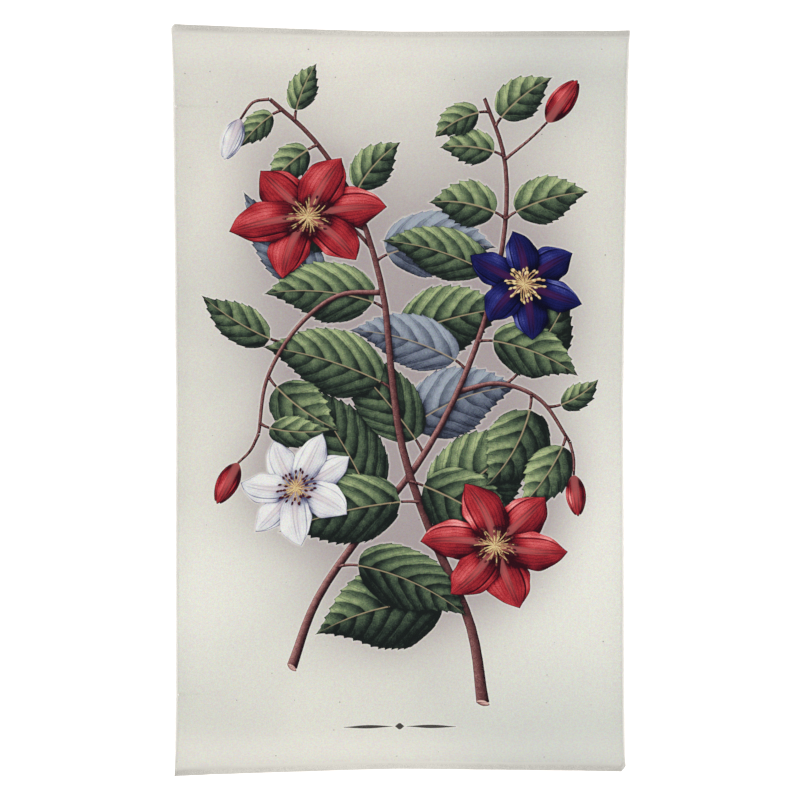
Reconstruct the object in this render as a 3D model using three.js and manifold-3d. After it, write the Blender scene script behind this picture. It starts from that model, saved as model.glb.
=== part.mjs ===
// A decoupage glass tray: one sheet of glass slumped into a shallow tray, a printed sheet and a backing sheet glued
// under it, and a felt pad that it stands on. Millimetres, +Z up, +Y along the tray. The origin is on the table under
// the middle of the tray's outline.
import * as THREE from 'three';
import { mergeVertices } from 'three/addons/utils/BufferGeometryUtils.js';
import Module from 'manifold-3d';

// Driving dimensions, in millimetres and degrees.
const WIDTH = 215.9; // over the middle of the long sides, seen from above: 8 1/2 inches
const LENGTH = 353.6; // over the middle of the raised ends, seen from above: nearly 14 inches
const GLASS_THICKNESS = 6;
const ARRIS = 0.5; // the small bevel that grinding leaves along each edge
const END_TILT = 40; // the slope that the short ends reach
const END_BEND_RADIUS = 50;
const SIDE_TILT = 10; // the slope that the long sides reach
const SIDE_BEND_RADIUS = 150;
const PRINT_THICKNESS = 0.3; // the paper with its glue
const BACKING_THICKNESS = 0.5;
const SHEET_MARGIN = 1; // how far the glued sheets stop short of the edge of the glass
const FELT_THICKNESS = 1.5;
const FELT_MARGIN = 9; // from the start of the bends to the edge of the felt
const FELT_CORNER_RADIUS = 12;

// The tray was made by hand, so its corners spread out of the rectangle: outwards along X and along Y.
const CORNERS = {
  farLeft: { x: -1, y: 1, spread: [1.7, 3.0], nip: 2.4 },
  farRight: { x: 1, y: 1, spread: [2.6, 0.4], nip: 0 },
  nearLeft: { x: -1, y: -1, spread: [0.1, 2.8], nip: 0 },
  nearRight: { x: 1, y: -1, spread: [0.6, 1.0], nip: 3.0 },
};
const SPREAD_POWER = 1.2; // near 1 makes the spread edges nearly straight from their middle to the corner

// How finely the curves are stepped.
const FLAT_STEPS = 3; // from the middle of the tray to the start of a bend
const END_BEND_STEPS = 8;
const SIDE_BEND_STEPS = 3;
const FELT_CORNER_STEPS = 6;

const radians = THREE.MathUtils.degToRad;

// The upper face of the glass is narrower than the whole, because the tilted edges lean outwards.
const LEAN_DEPTH = GLASS_THICKNESS - ARRIS;
const endBend = {
  radius: END_BEND_RADIUS,
  run: END_BEND_RADIUS * Math.sin(radians(END_TILT)),
  edge: LENGTH / 2 - LEAN_DEPTH * Math.sin(radians(END_TILT)),
};
endBend.start = endBend.edge - endBend.run;
const sideBend = {
  radius: SIDE_BEND_RADIUS,
  run: SIDE_BEND_RADIUS * Math.sin(radians(SIDE_TILT)),
  edge: WIDTH / 2 - LEAN_DEPTH * Math.sin(radians(SIDE_TILT)),
};
sideBend.start = sideBend.edge - sideBend.run;

// The faces of the layers, as depths below the upper face of the glass.
const PRINT_TOP = GLASS_THICKNESS;
const BACKING_TOP = PRINT_TOP + PRINT_THICKNESS;
const BACKING_BOTTOM = BACKING_TOP + BACKING_THICKNESS;
const FLAT_HEIGHT = FELT_THICKNESS + BACKING_BOTTOM; // the upper face of the glass over the table, in the middle

// The height and the slope of a bend at a distance from the middle of the tray.
function bendHeight(bend, distance) {
  const along = Math.max(0, Math.abs(distance) - bend.start);
  return bend.radius - Math.sqrt(bend.radius ** 2 - along ** 2);
}

function bendSlope(bend, distance) {
  const along = Math.max(0, Math.abs(distance) - bend.start);
  return (Math.sign(distance) * along) / Math.sqrt(bend.radius ** 2 - along ** 2);
}

// Moves a point of the plain rectangle to its place on the tray. u and v run from -1 to 1 over the upper face.
function spreadPoint(u, v) {
  const corner = Object.values(CORNERS).find((c) => c.x * u >= 0 && c.y * v >= 0);
  const [spreadX, spreadY] = corner.spread;
  const x = u * sideBend.edge + corner.x * spreadX * Math.abs(u) * Math.abs(v) ** SPREAD_POWER;
  const y = v * endBend.edge + corner.y * spreadY * Math.abs(v) * Math.abs(u) ** SPREAD_POWER;
  return [x, y];
}

// A point at a depth below the upper face of the glass, measured square to that face, and the face's direction there.
function trayNormal(u, v) {
  const [x, y] = spreadPoint(u, v);
  return new THREE.Vector3(-bendSlope(sideBend, x), -bendSlope(endBend, y), 1).normalize();
}

function trayPoint(u, v, depth) {
  const [x, y] = spreadPoint(u, v);
  const top = new THREE.Vector3(x, y, FLAT_HEIGHT + bendHeight(sideBend, x) + bendHeight(endBend, y));
  return top.addScaledVector(trayNormal(u, v), -depth);
}

// Grid lines over the tray, from -1 to 1: the outermost is its edge, then come the arris and the edge of the glued sheets.
function gridLines(bend, bendSteps) {
  const half = [];
  for (let i = 0; i < FLAT_STEPS; i += 1) half.push((bend.start * i) / FLAT_STEPS);
  const sheetTilt = Math.asin((bend.run - SHEET_MARGIN) / bend.radius);
  for (let i = 0; i <= bendSteps; i += 1) {
    half.push(bend.start + bend.radius * Math.sin((sheetTilt * i) / bendSteps));
  }
  half.push(bend.edge - ARRIS, bend.edge);
  const shares = half.map((distance) => distance / bend.edge);
  const mirrored = shares.slice(1).reverse().map((share) => -share);
  return [...mirrored, ...shares];
}
const ARRIS_LINE = 1;
const SHEET_LINE = 2;
const acrossLines = gridLines(sideBend, SIDE_BEND_STEPS);
const alongLines = gridLines(endBend, END_BEND_STEPS);

// The grid points round one rectangle of lines, counter-clockwise from above.
function loopPoints(line) {
  const lastU = acrossLines.length - 1 - line;
  const lastV = alongLines.length - 1 - line;
  const points = [];
  for (let i = line; i < lastU; i += 1) points.push([i, line]);
  for (let j = line; j < lastV; j += 1) points.push([lastU, j]);
  for (let i = lastU; i > line; i -= 1) points.push([i, lastV]);
  for (let j = lastV; j > line; j -= 1) points.push([line, j]);
  return points;
}

// Carries a point on the arris line out to the edge of the glass.
function toEdge([i, j]) {
  const outward = (index, lines) => {
    if (index === ARRIS_LINE) return 0;
    return index === lines.length - 1 - ARRIS_LINE ? lines.length - 1 : index;
  };
  return [outward(i, acrossLines), outward(j, alongLines)];
}

// A closed layer of the tray between two depths, out to one grid line. loops are the rings of points, from the upper
// face down to the lower one, that its edge passes through.
function layer(line, upper, lower, loops) {
  const corners = [];
  const at = ([i, j], depth) => trayPoint(acrossLines[i], alongLines[j], depth);
  const face = (a, b, c, d) => corners.push(a, b, c, a, c, d);
  for (let i = line; i < acrossLines.length - 1 - line; i += 1) {
    for (let j = line; j < alongLines.length - 1 - line; j += 1) {
      const cell = [[i, j], [i + 1, j], [i + 1, j + 1], [i, j + 1]];
      const [a, b, c, d] = cell.map((point) => at(point, upper));
      face(a, b, c, d);
      const [e, f, g, h] = cell.map((point) => at(point, lower));
      corners.push(e, g, f, e, h, g);
    }
  }
  for (let k = 0; k < loops.length - 1; k += 1) {
    const high = loops[k].points.map((point) => at(point, loops[k].depth));
    const low = loops[k + 1].points.map((point) => at(point, loops[k + 1].depth));
    for (let m = 0; m < high.length; m += 1) {
      const next = (m + 1) % high.length;
      face(high[m], low[m], low[next], high[next]);
    }
  }
  return new THREE.BufferGeometry().setFromPoints(corners);
}

// Cuts and joins.
const wasm = await Module();
wasm.setup();

function toSolid(geometry) {
  const bare = geometry.index ? geometry.toNonIndexed() : geometry.clone();
  bare.deleteAttribute('normal');
  bare.deleteAttribute('uv');
  const merged = mergeVertices(bare);
  const vertProperties = new Float32Array(merged.attributes.position.array);
  const triVerts = new Uint32Array(merged.index.array);
  return new wasm.Manifold(new wasm.Mesh({ numProp: 3, vertProperties, triVerts }));
}

function toGeometry(solid) {
  const mesh = solid.getMesh();
  const geometry = new THREE.BufferGeometry();
  geometry.setAttribute('position', new THREE.BufferAttribute(mesh.vertProperties, 3));
  geometry.setIndex(new THREE.BufferAttribute(mesh.triVerts, 1));
  geometry.computeVertexNormals();
  return geometry;
}

// A block that takes off a corner of the tray, square to the glass there. inset moves the cut inwards.
function nipBlock(corner, inset) {
  const size = 30;
  const normal = trayNormal(corner.x, corner.y);
  const outward = new THREE.Vector3(corner.x, corner.y, 0).projectOnPlane(normal).normalize();
  const sideways = new THREE.Vector3().crossVectors(normal, outward);
  const reach = size / 2 - corner.nip / Math.SQRT2 - inset;
  const centre = trayPoint(corner.x, corner.y, 0).addScaledVector(outward, reach);
  const place = new THREE.Matrix4().makeBasis(outward, sideways, normal).setPosition(centre);
  return toSolid(new THREE.BoxGeometry(size, size, size).applyMatrix4(place));
}

function nipCorners(geometry, inset) {
  const nipped = Object.values(CORNERS).filter((corner) => corner.nip > 0);
  const cut = nipped.reduce((solid, corner) => solid.subtract(nipBlock(corner, inset)), toSolid(geometry));
  return toGeometry(cut);
}

function glass() {
  const inner = loopPoints(ARRIS_LINE);
  const edge = inner.map(toEdge);
  const loops = [
    { points: inner, depth: 0 },
    { points: edge, depth: ARRIS },
    { points: edge, depth: GLASS_THICKNESS - ARRIS },
    { points: inner, depth: GLASS_THICKNESS },
  ];
  return nipCorners(layer(ARRIS_LINE, 0, GLASS_THICKNESS, loops), 0);
}

function gluedSheet(upper, lower) {
  const points = loopPoints(SHEET_LINE);
  const loops = [{ points, depth: upper }, { points, depth: lower }];
  return nipCorners(layer(SHEET_LINE, upper, lower, loops), SHEET_MARGIN);
}

function felt() {
  const halfWidth = sideBend.start - FELT_MARGIN;
  const halfLength = endBend.start - FELT_MARGIN;
  const inX = halfWidth - FELT_CORNER_RADIUS;
  const inY = halfLength - FELT_CORNER_RADIUS;
  const outline = new THREE.Shape();
  outline.absarc(inX, inY, FELT_CORNER_RADIUS, 0, Math.PI / 2);
  outline.absarc(-inX, inY, FELT_CORNER_RADIUS, Math.PI / 2, Math.PI);
  outline.absarc(-inX, -inY, FELT_CORNER_RADIUS, Math.PI, Math.PI * 1.5);
  outline.absarc(inX, -inY, FELT_CORNER_RADIUS, Math.PI * 1.5, Math.PI * 2);
  const options = { depth: FELT_THICKNESS, bevelEnabled: false, curveSegments: FELT_CORNER_STEPS };
  return new THREE.ExtrudeGeometry(outline, options);
}

const clearGlass = new THREE.MeshStandardMaterial({
  color: 0xe6ebe4,
  roughness: 0.05,
  metalness: 0,
  transparent: true,
  opacity: 0.35,
});
const printPaper = new THREE.MeshStandardMaterial({ color: 0xddddd4, roughness: 0.8, metalness: 0 });
const backingPaper = new THREE.MeshStandardMaterial({ color: 0x8a7a5c, roughness: 0.9, metalness: 0 });
const darkFelt = new THREE.MeshStandardMaterial({ color: 0x2c3a30, roughness: 1, metalness: 0 });

const group = new THREE.Group();

function place(name, geometry, material) {
  const mesh = new THREE.Mesh(geometry, material);
  mesh.name = name;
  group.add(mesh);
  return mesh;
}

const tray = place('glass_tray', glass(), clearGlass);
place('printed_sheet', gluedSheet(PRINT_TOP, BACKING_TOP), printPaper);
place('backing_sheet', gluedSheet(BACKING_TOP, BACKING_BOTTOM), backingPaper);
place('felt_pad', felt(), darkFelt);

// The spread corners shift the outline a little, and the origin goes under its middle.
const outlineCentre = new THREE.Box3().setFromObject(tray).getCenter(new THREE.Vector3());
group.position.set(-outlineCentre.x, -outlineCentre.y, 0);

export default group;
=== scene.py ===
"""A decoupage glass tray: a slumped sheet of glass with ground edges, a printed sheet glued under it, its
backing and a felt pad. The print is a generic spray of star-shaped garden flowers on aged paper.

Lengths are in millimetres until a mesh is made, and then in metres.
"""

import math
from types import SimpleNamespace

import bmesh
import bpy
import numpy as np
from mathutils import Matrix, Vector
from mathutils.geometry import delaunay_2d_cdt


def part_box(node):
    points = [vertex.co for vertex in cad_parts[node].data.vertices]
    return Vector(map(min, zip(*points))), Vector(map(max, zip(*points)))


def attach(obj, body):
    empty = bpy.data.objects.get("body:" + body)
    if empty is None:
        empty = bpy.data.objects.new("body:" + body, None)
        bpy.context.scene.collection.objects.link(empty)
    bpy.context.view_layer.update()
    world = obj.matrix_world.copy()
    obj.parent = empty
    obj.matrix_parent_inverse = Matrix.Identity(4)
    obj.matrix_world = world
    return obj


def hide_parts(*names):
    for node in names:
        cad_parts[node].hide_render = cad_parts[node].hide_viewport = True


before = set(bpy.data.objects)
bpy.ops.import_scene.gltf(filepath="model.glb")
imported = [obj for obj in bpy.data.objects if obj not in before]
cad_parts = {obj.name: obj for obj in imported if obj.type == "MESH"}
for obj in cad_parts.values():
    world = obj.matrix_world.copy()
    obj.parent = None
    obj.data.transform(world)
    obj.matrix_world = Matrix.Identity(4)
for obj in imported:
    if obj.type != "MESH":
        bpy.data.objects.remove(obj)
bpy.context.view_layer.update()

MM = 0.001
LEFT, RIGHT, NEAR, FAR = -1, 1, -1, 1

# ---- The tray's shape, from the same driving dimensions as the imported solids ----

WIDTH = 215.9
LENGTH = 353.6
GLASS_THICKNESS = 6.0
ARRIS = 0.5
END_TILT = math.radians(40)
END_BEND_RADIUS = 50.0
SIDE_TILT = math.radians(10)
SIDE_BEND_RADIUS = 150.0
PRINT_THICKNESS = 0.3
BACKING_THICKNESS = 0.5
SHEET_MARGIN = 1.0
FELT_THICKNESS = 1.5
FELT_CORNER_RADIUS = 12.0
SPREAD = {  # how far each corner spreads out of the rectangle, along x and y
    (LEFT, FAR): (1.7, 3.0),
    (RIGHT, FAR): (2.6, 0.4),
    (LEFT, NEAR): (0.1, 2.8),
    (RIGHT, NEAR): (0.6, 1.0),
}
SPREAD_POWER = 1.2
NIPS = {(LEFT, FAR): 2.4, (RIGHT, NEAR): 3.0}  # how much of a corner is cut off
GLUE = 0.02  # how far the print is bedded into the glass, so that no air shows between them
EDGE_WANDER = 0.05  # how far the ground edge strays from a true line


def make_bend(radius, tilt, overall):
    """One direction of the tray: flat from its middle to start, then an arc up to edge."""
    run = radius * math.sin(tilt)
    edge = overall / 2 - (GLASS_THICKNESS - ARRIS) * math.sin(tilt)
    return SimpleNamespace(radius=radius, run=run, edge=edge, start=edge - run)


ACROSS = make_bend(SIDE_BEND_RADIUS, SIDE_TILT, WIDTH)
ALONG = make_bend(END_BEND_RADIUS, END_TILT, LENGTH)
PRINT_TOP = GLASS_THICKNESS - GLUE
BACKING_TOP = GLASS_THICKNESS + PRINT_THICKNESS
BACKING_BOTTOM = BACKING_TOP + BACKING_THICKNESS
FLAT_HEIGHT = FELT_THICKNESS + BACKING_BOTTOM


def bend_rise(bend, distance):
    """The height of a bend at distances from the tray's middle, and its slope there."""
    along = np.maximum(0.0, np.abs(distance) - bend.start)
    drop = np.sqrt(bend.radius**2 - along**2)
    return bend.radius - drop, np.sign(distance) * along / drop


def tray_surface(u, v):
    """Points on the upper face of the glass and its normals there, for u and v from -1 to 1."""
    x = u * ACROSS.edge
    y = v * ALONG.edge
    for (side, end), (spread_x, spread_y) in SPREAD.items():
        here = (np.where(u >= 0, RIGHT, LEFT) == side) & (np.where(v >= 0, FAR, NEAR) == end)
        x = x + here * side * spread_x * np.abs(u) * np.abs(v) ** SPREAD_POWER
        y = y + here * end * spread_y * np.abs(v) * np.abs(u) ** SPREAD_POWER
    rise_x, slope_x = bend_rise(ACROSS, x)
    rise_y, slope_y = bend_rise(ALONG, y)
    points = np.stack([x, y, FLAT_HEIGHT + rise_x + rise_y], axis=-1)
    normals = np.stack([-slope_x, -slope_y, np.ones_like(slope_x)], axis=-1)
    return points, normals / np.linalg.norm(normals, axis=-1, keepdims=True)


def tray_points(u, v, depth):
    """Points at one depth below the upper face of the glass."""
    points, normals = tray_surface(np.asarray(u, float), np.asarray(v, float))
    return points - depth * normals


def shift_to_packed():
    """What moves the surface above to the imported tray, which is centred on its outline."""
    low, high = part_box("glass_tray")
    u, v = np.meshgrid(np.linspace(-1, 1, 201), np.linspace(-1, 1, 201))
    outline = tray_points(u, v, GLASS_THICKNESS - ARRIS).reshape(-1, 3)
    shift = (np.array(low) + np.array(high)) / 2 / MM - (outline.min(0) + outline.max(0)) / 2
    return shift * (1, 1, 0)


SHIFT = shift_to_packed()

# ---- The glass, the backing and the felt ----

# How far the felt's side lies in at each height, from its upper face down
FELT_EDGE = ((0.25, FELT_THICKNESS), (0.05, 1.2), (0.0, 0.7), (0.05, 0.25), (0.35, 0.0))


def add_piece(name, points, faces, materials, replaced, smooth=True):
    """A piece of the tray from points in millimetres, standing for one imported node."""
    mesh = bpy.data.meshes.new(name)
    mesh.from_pydata(((np.asarray(points) + SHIFT) * MM).tolist(), [], faces)
    for material in materials:
        mesh.materials.append(material)
    if smooth:
        mesh.shade_smooth()
    else:
        mesh.shade_flat()
    piece = bpy.data.objects.new(name, mesh)
    bpy.context.scene.collection.objects.link(piece)
    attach(piece, "root")
    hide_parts(replaced)
    return piece


def wall(rings):
    """The faces between rings of points that run counter-clockwise, from the highest ring down."""
    faces = []
    for upper, lower in zip(rings, rings[1:]):
        faces += np.stack([upper, lower, np.roll(lower, -1), np.roll(upper, -1)], axis=1).tolist()
    return faces


def even_lines(bend, inset, flat_count, bend_count):
    """Grid lines from -1 to 1 that reach an inset from the edge, closer together in the bends."""
    reach = bend.edge - inset
    flat = np.linspace(0, bend.start, flat_count, endpoint=False)
    turn = np.linspace(0, math.asin((reach - bend.start) / bend.radius), bend_count)
    half = np.concatenate([flat, bend.start + bend.radius * np.sin(turn)]) / bend.edge
    return np.concatenate([-half[:0:-1], half])


def tray_layer(u_lines, v_lines, rings, wander=0.0):
    """A closed layer of the tray. rings are (inset, depth) from its upper face to its lower one. Returns
    the points, their depths, the faces, and how many of these are not on the edge."""
    u, v = (lines.ravel() for lines in np.meshgrid(u_lines, v_lines))
    grid = np.arange(u.size).reshape(len(v_lines), len(u_lines))
    loop = np.concatenate([grid[0, :-1], grid[:-1, -1], grid[-1, :0:-1], grid[:0:-1, 0]])
    above = np.stack([grid[:-1, :-1], grid[:-1, 1:], grid[1:, 1:], grid[1:, :-1]], axis=-1).reshape(-1, 4)
    faces = [*above.tolist(), *(above[:, ::-1] + grid.size).tolist()]
    (first_inset, upper), (_, lower) = rings[0], rings[-1]
    points = [tray_points(u, v, upper), tray_points(u, v, lower)]
    depths = [upper] * u.size + [lower] * u.size
    turn = np.linspace(0, 2 * math.pi, len(loop), endpoint=False)
    stray = np.sin(17 * turn + 1) + 0.7 * np.sin(41 * turn + 4) + 0.5 * np.sin(97 * turn + 2)
    stray = wander * stray / 2.2
    edge = [loop]
    for inset, depth in rings[1:-1]:
        grow_u = (ACROSS.edge - inset + stray) / (ACROSS.edge - first_inset)
        grow_v = (ALONG.edge - inset + stray) / (ALONG.edge - first_inset)
        edge.append(np.arange(len(loop)) + len(depths))
        points.append(tray_points(u[loop] * grow_u, v[loop] * grow_v, depth))
        depths += [depth] * len(loop)
    edge.append(loop + grid.size)
    return np.vstack(points), depths, faces + wall(edge), len(faces)


def nip_corners(piece, inset, material_index):
    """Cuts off the corners that were nipped, square to the surface, and closes the cut."""
    shape = bmesh.new()
    shape.from_mesh(piece.data)
    for (side, end), nip in NIPS.items():
        top, normal = tray_surface(np.array([float(side)]), np.array([float(end)]))
        normal = Vector(normal[0])
        outward = Vector((side, end, 0))
        outward = (outward - outward.dot(normal) * normal).normalized()
        place = (Vector(top[0] + SHIFT) - outward * (nip / math.sqrt(2) + inset)) * MM
        parts = shape.verts[:] + shape.edges[:] + shape.faces[:]
        cut = bmesh.ops.bisect_plane(shape, geom=parts, plane_co=place, plane_no=outward, clear_outer=True)
        edges = [part for part in cut["geom_cut"] if isinstance(part, bmesh.types.BMEdge)]
        for face in bmesh.ops.edgenet_fill(shape, edges=edges)["faces"]:
            face.material_index = material_index
    bmesh.ops.recalc_face_normals(shape, faces=shape.faces[:])
    shape.to_mesh(piece.data)
    shape.free()


def glass(clear, ground):
    """The glass, with a rounded arris. Its ground edge has a material of its own, which reads the depth."""
    arris = []
    for turn in (0.0, math.pi / 4, math.pi / 2):
        arris.append((ARRIS * (1 - math.sin(turn)), ARRIS * (1 - math.cos(turn))))
    rings = [*arris, (0.0, GLASS_THICKNESS / 2)]
    rings += [(inset, GLASS_THICKNESS - depth) for inset, depth in reversed(arris)]
    u_lines = even_lines(ACROSS, ARRIS, 24, 20)
    v_lines = even_lines(ALONG, ARRIS, 40, 36)
    points, depths, faces, flat_count = tray_layer(u_lines, v_lines, rings, EDGE_WANDER)
    piece = add_piece("glass_sheet", points, faces, [clear, ground], "glass_tray")
    piece.data.attributes.new("depth", "FLOAT", "POINT").data.foreach_set("value", depths)
    for polygon in piece.data.polygons[flat_count:]:
        polygon.material_index = 1
    nip_corners(piece, 0.0, 1)


def backing(material):
    """The backing sheet, with its upper face bedded into the print."""
    rings = [(SHEET_MARGIN, BACKING_TOP + GLUE), (SHEET_MARGIN, BACKING_BOTTOM)]
    u_lines = even_lines(ACROSS, SHEET_MARGIN, 16, 12)
    v_lines = even_lines(ALONG, SHEET_MARGIN, 28, 20)
    points, _, faces, _ = tray_layer(u_lines, v_lines, rings)
    piece = add_piece("backing_paper", points, faces, [material], "backing_sheet")
    nip_corners(piece, SHEET_MARGIN, 0)


def felt(material):
    """The felt pad under the flat middle, with softly cut edges."""
    low, high = (np.array(corner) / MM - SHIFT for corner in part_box("felt_pad"))
    middle = (low + high)[:2] / 2
    straight = (high - low)[:2] / 2 - FELT_CORNER_RADIUS
    centres, rays = [], []
    for quarter, corner in enumerate(((RIGHT, FAR), (LEFT, FAR), (LEFT, NEAR), (RIGHT, NEAR))):
        for turn in np.linspace(quarter * math.pi / 2, (quarter + 1) * math.pi / 2, 13):
            centres.append(straight * corner)
            rays.append((math.cos(turn), math.sin(turn)))
    centres, rays = np.array(centres), np.array(rays)
    points = []
    for inset, height in FELT_EDGE:
        flat = centres + rays * (FELT_CORNER_RADIUS - inset) + middle
        points.append(np.column_stack([flat, np.full(len(flat), height)]))
    rings = np.arange(len(FELT_EDGE) * len(rays)).reshape(len(FELT_EDGE), -1)
    faces = [rings[0].tolist(), rings[-1, ::-1].tolist(), *wall(rings)]
    add_piece("felt_base", np.vstack(points), faces, [material], "felt_pad", smooth=False)


# ---- The print: flat shapes called blades, each an axis with a width on both sides of it ----

PAPER, LEAF, LEAF_BACK, CRIMSON, WHITE, NAVY, STEM, STAMEN, RULE = range(9)
LIGHT = np.array([-0.6, 0.8])  # the side of the sheet that the drawing is lit from
AXIS_STEPS = 40
CURVE_STEPS = 16  # between two given points
TOOTH_STEPS = 6
TOOTH_SPACING = 3.8
TOOTH = 1.25
MOTIF_SIDE = 97.0  # how far the spray may reach from the sheet's middle
MOTIF_TOP = 168.0
CUT_SLANT = 68  # from a stem's direction to its cut, degrees
RULE_HEIGHT = -158.0  # where the ornament lies on the sheet


def direction(degrees):
    return np.array([math.cos(math.radians(degrees)), math.sin(math.radians(degrees))])


def foreshortened(degrees, tilt):
    """A matrix that squeezes the sheet's plane along a direction."""
    along = direction(degrees)
    return np.eye(2) - (1 - tilt) * np.outer(along, along)


def smooth_curve(points):
    """A smooth line through given points, evenly stepped along its length."""
    p = np.asarray(points, float)
    p = np.vstack([2 * p[0] - p[1], p, 2 * p[-1] - p[-2]])
    t = np.linspace(0, 1, CURVE_STEPS, endpoint=False)[:, None]
    parts = [
        0.5 * (2 * b + (c - a) * t + (2 * a - 5 * b + 4 * c - d) * t**2 + (3 * b - a - 3 * c + d) * t**3)
        for a, b, c, d in zip(p[:-3], p[1:-2], p[2:-1], p[3:])
    ]
    line = np.vstack([*parts, p[-2:-1]])
    run = np.concatenate([[0], np.cumsum(np.linalg.norm(np.diff(line, axis=0), axis=1))])
    even = np.linspace(0, run[-1], AXIS_STEPS + 1)
    return np.stack([np.interp(even, run, line[:, 0]), np.interp(even, run, line[:, 1])], axis=1)


def bent_axis(start, heading, length, bend):
    """An axis from start that turns steadily by bend degrees on its way."""
    turn = np.radians(heading + bend * (np.linspace(0, 1, AXIS_STEPS) - 0.35))
    steps = np.stack([np.cos(turn), np.sin(turn)], axis=1) * length / AXIS_STEPS
    return np.vstack([start, start + np.cumsum(steps, axis=0)])


def along_axis(axis, share):
    """A point of an axis and its heading there, in degrees."""
    index = min(int(share * (len(axis) - 1)), len(axis) - 2)
    step = axis[index + 1] - axis[index]
    return axis[index], math.degrees(math.atan2(step[1], step[0]))


class Blade:
    """A shape of the print. teeth are saw teeth along each side, and waves are gentle undulations. squash
    foreshortens the shape about origin, which is the start of its axis if none is given."""

    def __init__(
        self, kind, axis, half_width, teeth=0, waves=0.0, age=0.5, seed=0.0, squash=np.eye(2), origin=None
    ):
        self.kind = kind
        self.axis = axis
        self.half_width = half_width
        self.age = age
        self.seed = seed
        self.squash = squash
        self.origin = axis[0] if origin is None else origin
        self.steps = np.diff(axis, axis=0)
        self.length = np.linalg.norm(self.steps, axis=1).sum()
        self.tangents = self.steps / np.linalg.norm(self.steps, axis=1, keepdims=True)
        self.outline = (self.margin(teeth, waves) - self.origin) @ squash.T + self.origin

    def at(self, u):
        """Points and tangents of the axis, at shares of its length."""
        where = np.clip(u, 0, 1) * len(self.steps)
        index = np.minimum(where.astype(int), len(self.steps) - 1)
        part = (where - index)[:, None]
        return self.axis[index] * (1 - part) + self.axis[index + 1] * part, self.tangents[index]

    def margin(self, teeth, waves):
        """The outline, up the right side and down the left, which is counter-clockwise."""
        if teeth:
            u = np.linspace(0, 1, teeth * TOOTH_STEPS + 1)
        else:
            steps = int(np.clip(self.length / 0.7, 9, 36))
            u = (1 - np.cos(np.linspace(0, math.pi, steps + 1))) / 2
        sides = []
        for side in (-1, 1):
            centre, tangent = self.at(u)
            normal = np.stack([-tangent[:, 1], tangent[:, 0]], axis=1) * side
            width = self.half_width(u)
            width = width * (1 + waves * np.sin(u * 19 + self.seed * 40 + side))
            if teeth:
                room = np.minimum(1, width / (4 * TOOTH)) * (u < 0.97)
                saw = ((u * teeth + self.seed) % 1.0) ** 2.2 * room * TOOTH
                centre = centre + tangent * saw[:, None]
                width = width + saw
            sides.append(centre + normal * width[:, None])
        return np.vstack([sides[0], sides[1][-2:0:-1]])

    def measure(self, points):
        """Where sheet points lie on the blade: u along it, v across it, its half width there, and how much
        light that side of it gets."""
        flat = (points - self.origin) @ np.linalg.inv(self.squash).T + self.origin
        offset = flat[:, None, :] - self.axis[:-1][None]
        share = np.clip((offset * self.steps).sum(2) / (self.steps**2).sum(1), 0, 1)
        gap = offset - share[..., None] * self.steps
        nearest = (gap**2).sum(2).argmin(1)
        row = np.arange(len(flat))
        u = (nearest + share[row, nearest]) / len(self.steps)
        tangent = self.tangents[nearest]
        across = gap[row, nearest]
        side = np.sign(tangent[:, 0] * across[:, 1] - tangent[:, 1] * across[:, 0])
        half = np.maximum(self.half_width(u), 0.15)
        v = np.clip(side * np.linalg.norm(across, axis=1) / half, -1.3, 1.3)
        normal = np.stack([-tangent[:, 1], tangent[:, 0]], axis=1) @ self.squash.T
        normal /= np.linalg.norm(normal, axis=1, keepdims=True)
        return u, v, half, v * (normal @ LIGHT)


def leaf_width(half):
    """Round at its base, widest below the middle, with a drawn-out tip."""
    return lambda u: half * np.sin(math.pi * np.clip(u, 0, 1) ** 0.7) ** (0.62 + 0.78 * u)


def petal_width(half):
    """Narrow at its base, widest beyond the middle, with a short point."""

    def width(u):
        swell = np.sin(math.pi * (0.05 + 0.95 * np.clip(u, 0, 1)) ** 1.15)
        return half * swell ** (0.6 + 0.45 * u**3)

    return width


def spindle_width(half, shift=1.0, fullness=0.7):
    """Pointed at both ends."""
    return lambda u: half * np.sin(math.pi * np.clip(u, 0, 1) ** shift) ** fullness


def stem_width(base, tip):
    """Tapering, and a little thicker at the cut end."""
    return lambda u: base + (tip - base) * u + 0.25 * base * np.exp(-u * 22)


def stem(blades, axis, base, tip, age=0.4, seed=0.3):
    blades.append(Blade(STEM, axis, stem_width(base, tip), age=age, seed=seed))


def cut_foot(blades, axis, half):
    """The pale slanting cut at the foot of a stem."""
    foot, heading = along_axis(axis, 0)
    slant = heading + CUT_SLANT
    cut = bent_axis(foot - direction(slant) * half, slant, 2 * half, 0)
    blades.append(Blade(STEM, cut, spindle_width(0.42 * half), age=-2.6, seed=0.5))


def leaf(blades, start, heading, length, bend, slim, age, seed, kind, tilt):
    """A toothed leaf, smaller where it would reach beyond the spray's bounds. slim is its half width as a
    share of its length, and tilt foreshortens it."""
    squash = foreshortened(heading + 90, tilt)
    while True:
        axis = bent_axis(start, heading, length, bend)
        teeth = max(5, round(length / TOOTH_SPACING))
        blade = Blade(kind, axis, leaf_width(length * slim), teeth, 0.02, age, seed, squash)
        reach = np.abs(blade.outline[:, 0]).max(), blade.outline[:, 1].max()
        if (reach[0] < MOTIF_SIDE and reach[1] < MOTIF_TOP) or length < 14:
            break
        length *= 0.92
    blades.append(blade)


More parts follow.
